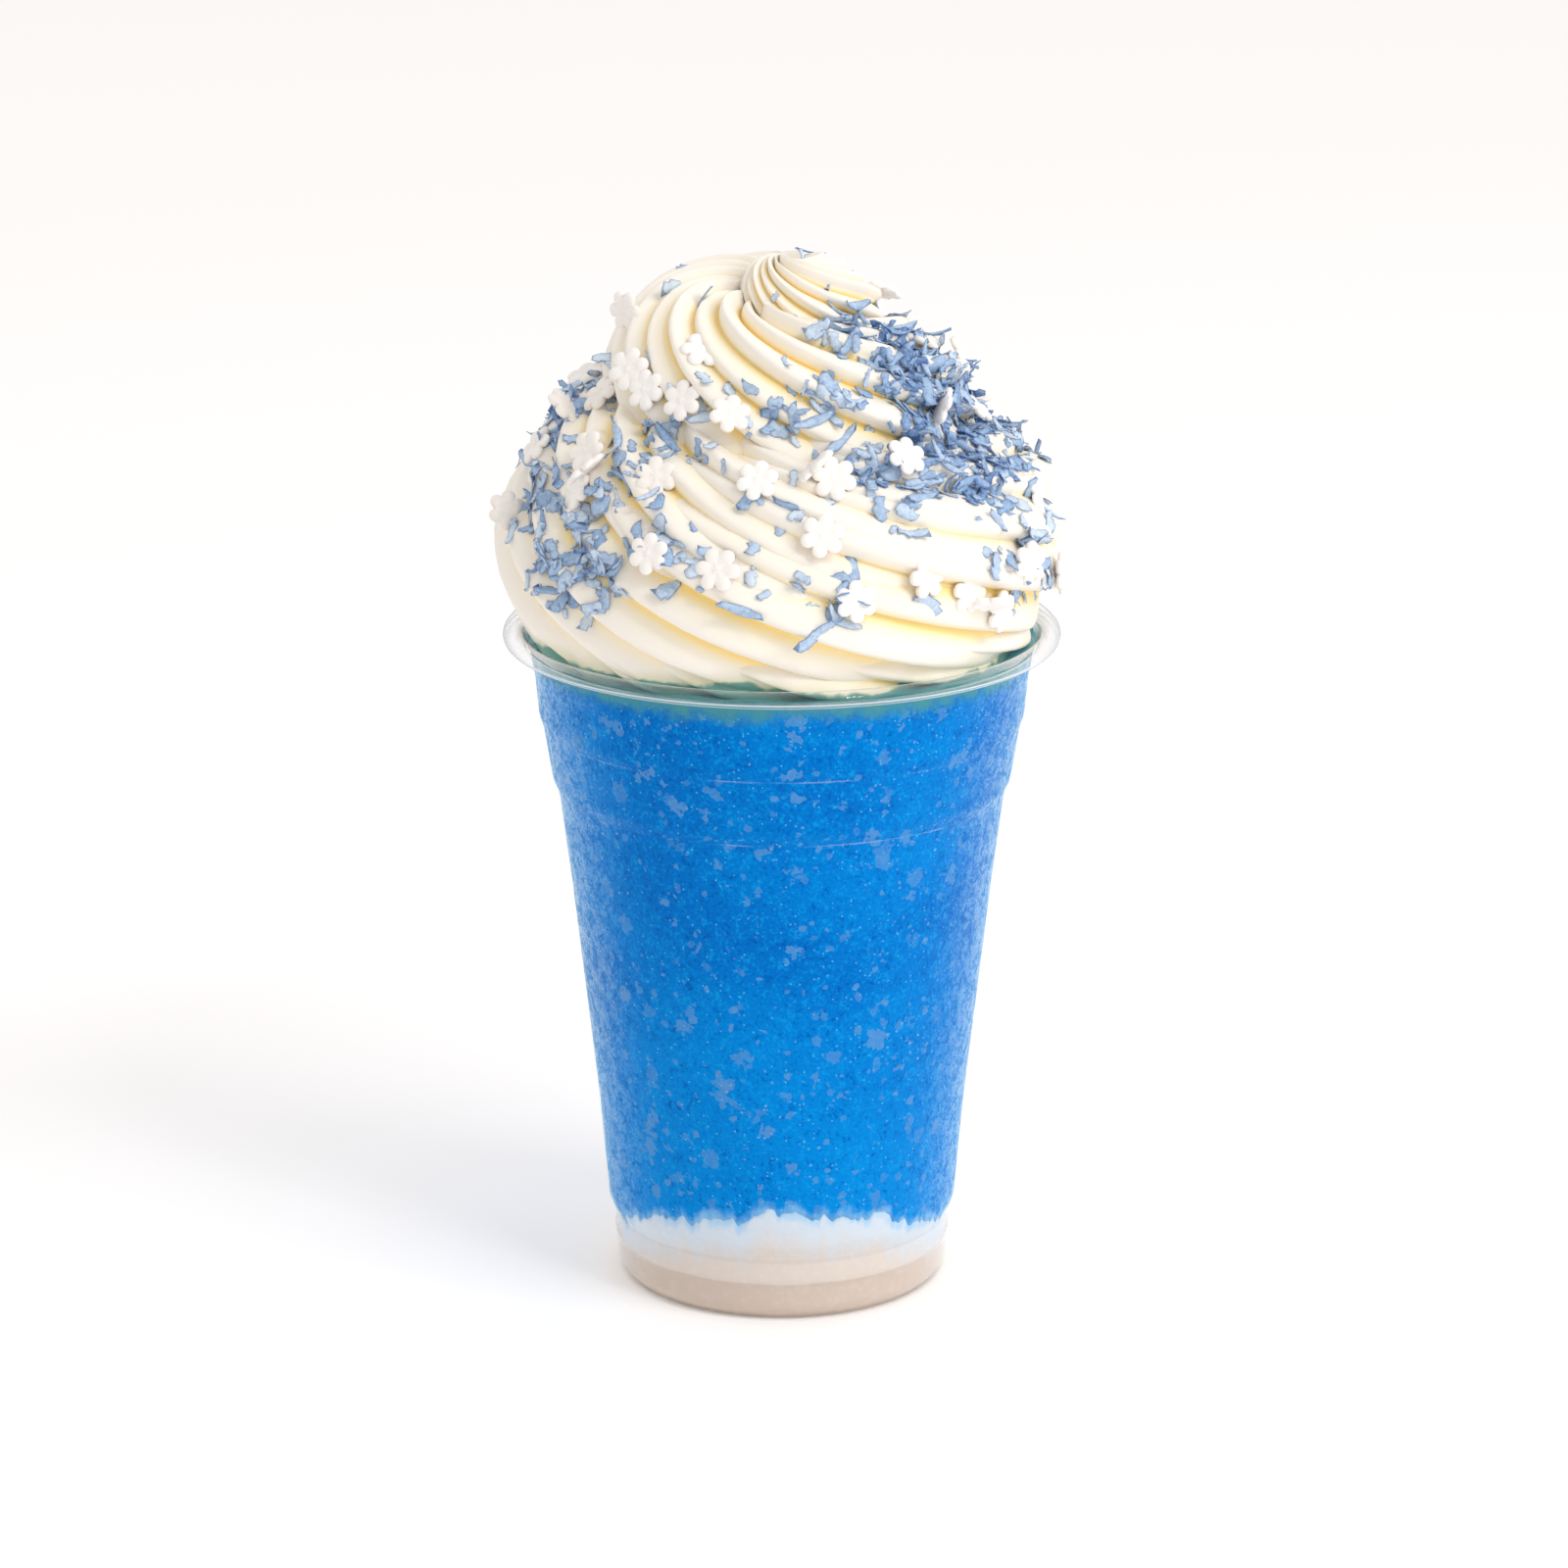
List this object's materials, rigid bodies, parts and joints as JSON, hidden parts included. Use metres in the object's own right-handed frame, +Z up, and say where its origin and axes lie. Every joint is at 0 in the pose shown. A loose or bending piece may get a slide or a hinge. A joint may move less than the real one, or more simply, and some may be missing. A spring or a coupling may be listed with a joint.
{
  "type": "frozen slush drink",
  "caption": "Blue frozen slush over a pale layer in a clear tapered cup, overfilled with a piped cream swirl that carries flower sprinkles and coconut flakes.",
  "frame": {"origin": "centre of the cup's foot, on the surface it stands on", "axes": "+Z up along the cup's axis, the side shown in the picture faces -Y"},
  "size_m": [0.0999, 0.0989, 0.1858],
  "materials": {
    "cup_clear": "clear thermoformed PET",
    "pale_layer": "opaque cream layer, standing in as matte plastic",
    "blue_slush": "wet crushed ice, standing in as gloss plastic",
    "cream": "soft piped cream, standing in as matte plastic"
  },
  "bodies": {
    "root": {"cup": "cup_clear", "base_layer": "pale_layer", "slush": "blue_slush", "cream": "cream"}
  },
  "joints": []
}
